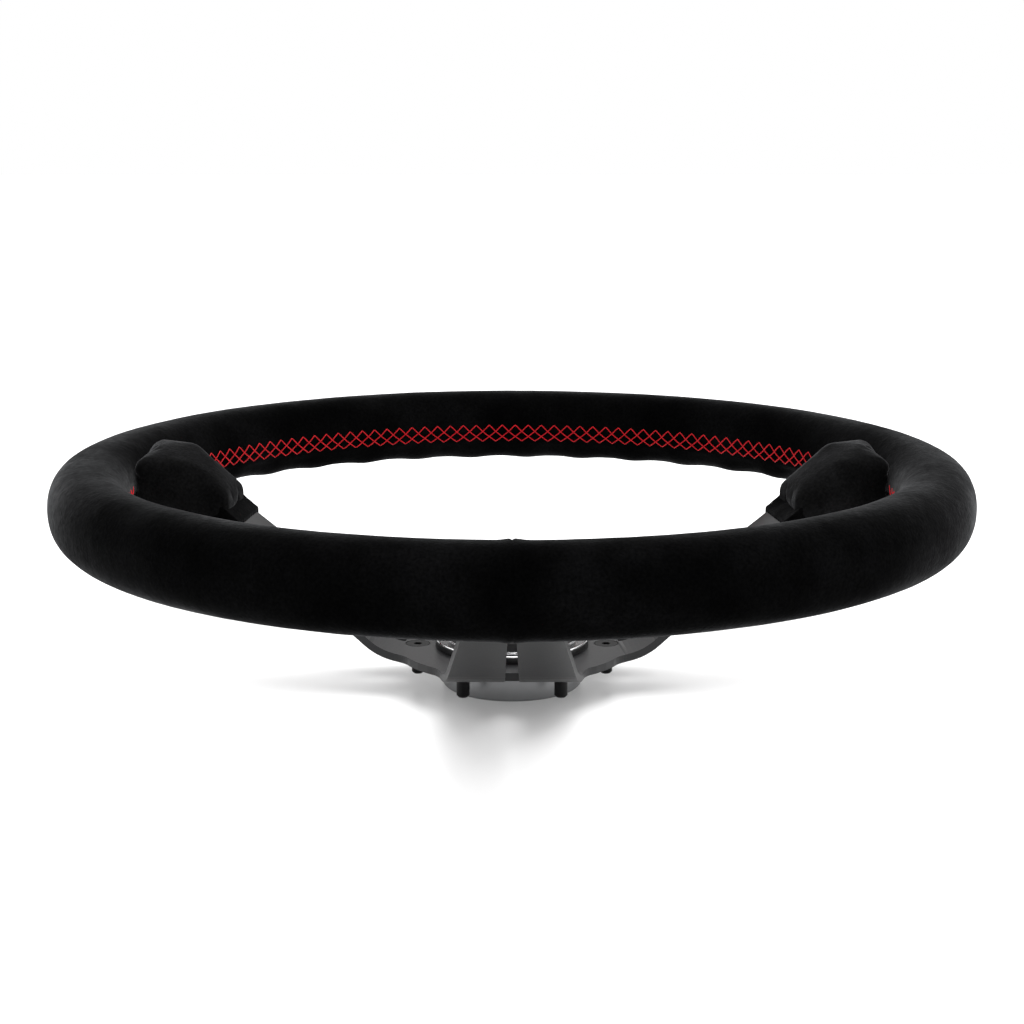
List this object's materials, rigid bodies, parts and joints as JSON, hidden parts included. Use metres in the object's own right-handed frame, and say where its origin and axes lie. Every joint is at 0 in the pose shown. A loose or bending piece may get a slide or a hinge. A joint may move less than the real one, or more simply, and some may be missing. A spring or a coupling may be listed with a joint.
{
  "type": "quick release steering wheel",
  "caption": "Deep-dish suede steering wheel with slotted spokes, thumb rests, a horn button and a sliding-collar quick release.",
  "frame": {"origin": "on the wheel's axis, in the plane of the spindle socket's mouth, where the wheel rests", "axes": "+Z along the axis towards the driver, -Y towards 6 o'clock, +X towards 3 o'clock"},
  "size_m": [0.35, 0.35, 0.093],
  "materials": {
    "anodised_plate": "satin anodised, dark grey",
    "core_steel": "drawn tube",
    "foam": "moulded foam",
    "suede": "brushed suede",
    "thread": "waxed twist",
    "screw_black": "black oxide",
    "housing_black": "black anodised",
    "socket_steel": "turned",
    "collar_grey": "satin anodised, grey",
    "spring_steel": "drawn wire",
    "ball_steel": "polished",
    "polished": "polished",
    "black_plastic": "fine grain",
    "brass": "stamped"
  },
  "bodies": {
    "wheel": {"spoke_frame": "anodised_plate", "rim_core": "core_steel", "rim_foam": "foam", "rim_cover": "suede", "seam_stitching": "thread", "left_thumb_rest": "suede", "right_thumb_rest": "suede", "left_spoke_boot": "suede", "right_spoke_boot": "suede", "lower_spoke_boot": "suede", "wheel_screws": "screw_black", "release_housing": "housing_black", "housing_screws": "screw_black", "spindle_socket": "socket_steel", "collar_spring": "spring_steel", "snap_ring": "spring_steel", "trim_ring": "polished", "horn_bezel": "housing_black", "horn_base": "black_plastic", "contact_ring": "brass", "contact_pin": "brass", "horn_spring": "spring_steel"},
    "collar": {"release_collar": "collar_grey"},
    "horn_button": {"horn_cap": "black_plastic", "contact_plate": "brass", "cap_badge": "polished"},
    "ball_1": {"locking_ball_1": "ball_steel"},
    "ball_2": {"locking_ball_2": "ball_steel"},
    "ball_3": {"locking_ball_3": "ball_steel"},
    "ball_4": {"locking_ball_4": "ball_steel"},
    "ball_5": {"locking_ball_5": "ball_steel"},
    "ball_6": {"locking_ball_6": "ball_steel"}
  },
  "joints": [
    {"name": "collar_slide", "type": "slide", "parent": "wheel", "child": "collar", "axis": [0, 0, 1], "range_m": [0, 0.0024], "stiffness_N_per_m": 4000, "springref_m": -0.002, "deforming": ["collar_spring"]},
    {"name": "horn_press", "type": "slide", "parent": "wheel", "child": "horn_button", "axis": [0, 0, -1], "range_m": [0, 0.0016], "stiffness_N_per_m": 2500, "springref_m": -0.001, "deforming": ["horn_spring"]},
    {"name": "ball_slide_1", "type": "slide", "parent": "wheel", "child": "ball_1", "axis": [1, 0, 0], "range_m": [0, 0.0012]},
    {"name": "ball_slide_2", "type": "slide", "parent": "wheel", "child": "ball_2", "axis": [0.5, 0.866, 0], "range_m": [0, 0.0012]},
    {"name": "ball_slide_3", "type": "slide", "parent": "wheel", "child": "ball_3", "axis": [-0.5, 0.866, 0], "range_m": [0, 0.0012]},
    {"name": "ball_slide_4", "type": "slide", "parent": "wheel", "child": "ball_4", "axis": [-1, 0, 0], "range_m": [0, 0.0012]},
    {"name": "ball_slide_5", "type": "slide", "parent": "wheel", "child": "ball_5", "axis": [-0.5, -0.866, 0], "range_m": [0, 0.0012]},
    {"name": "ball_slide_6", "type": "slide", "parent": "wheel", "child": "ball_6", "axis": [0.5, -0.866, 0], "range_m": [0, 0.0012]}
  ],
  "couplings": [
    {"joint": "ball_slide_1", "follows": "collar_slide", "ratio": 0.5},
    {"joint": "ball_slide_2", "follows": "collar_slide", "ratio": 0.5},
    {"joint": "ball_slide_3", "follows": "collar_slide", "ratio": 0.5},
    {"joint": "ball_slide_4", "follows": "collar_slide", "ratio": 0.5},
    {"joint": "ball_slide_5", "follows": "collar_slide", "ratio": 0.5},
    {"joint": "ball_slide_6", "follows": "collar_slide", "ratio": 0.5}
  ]
}
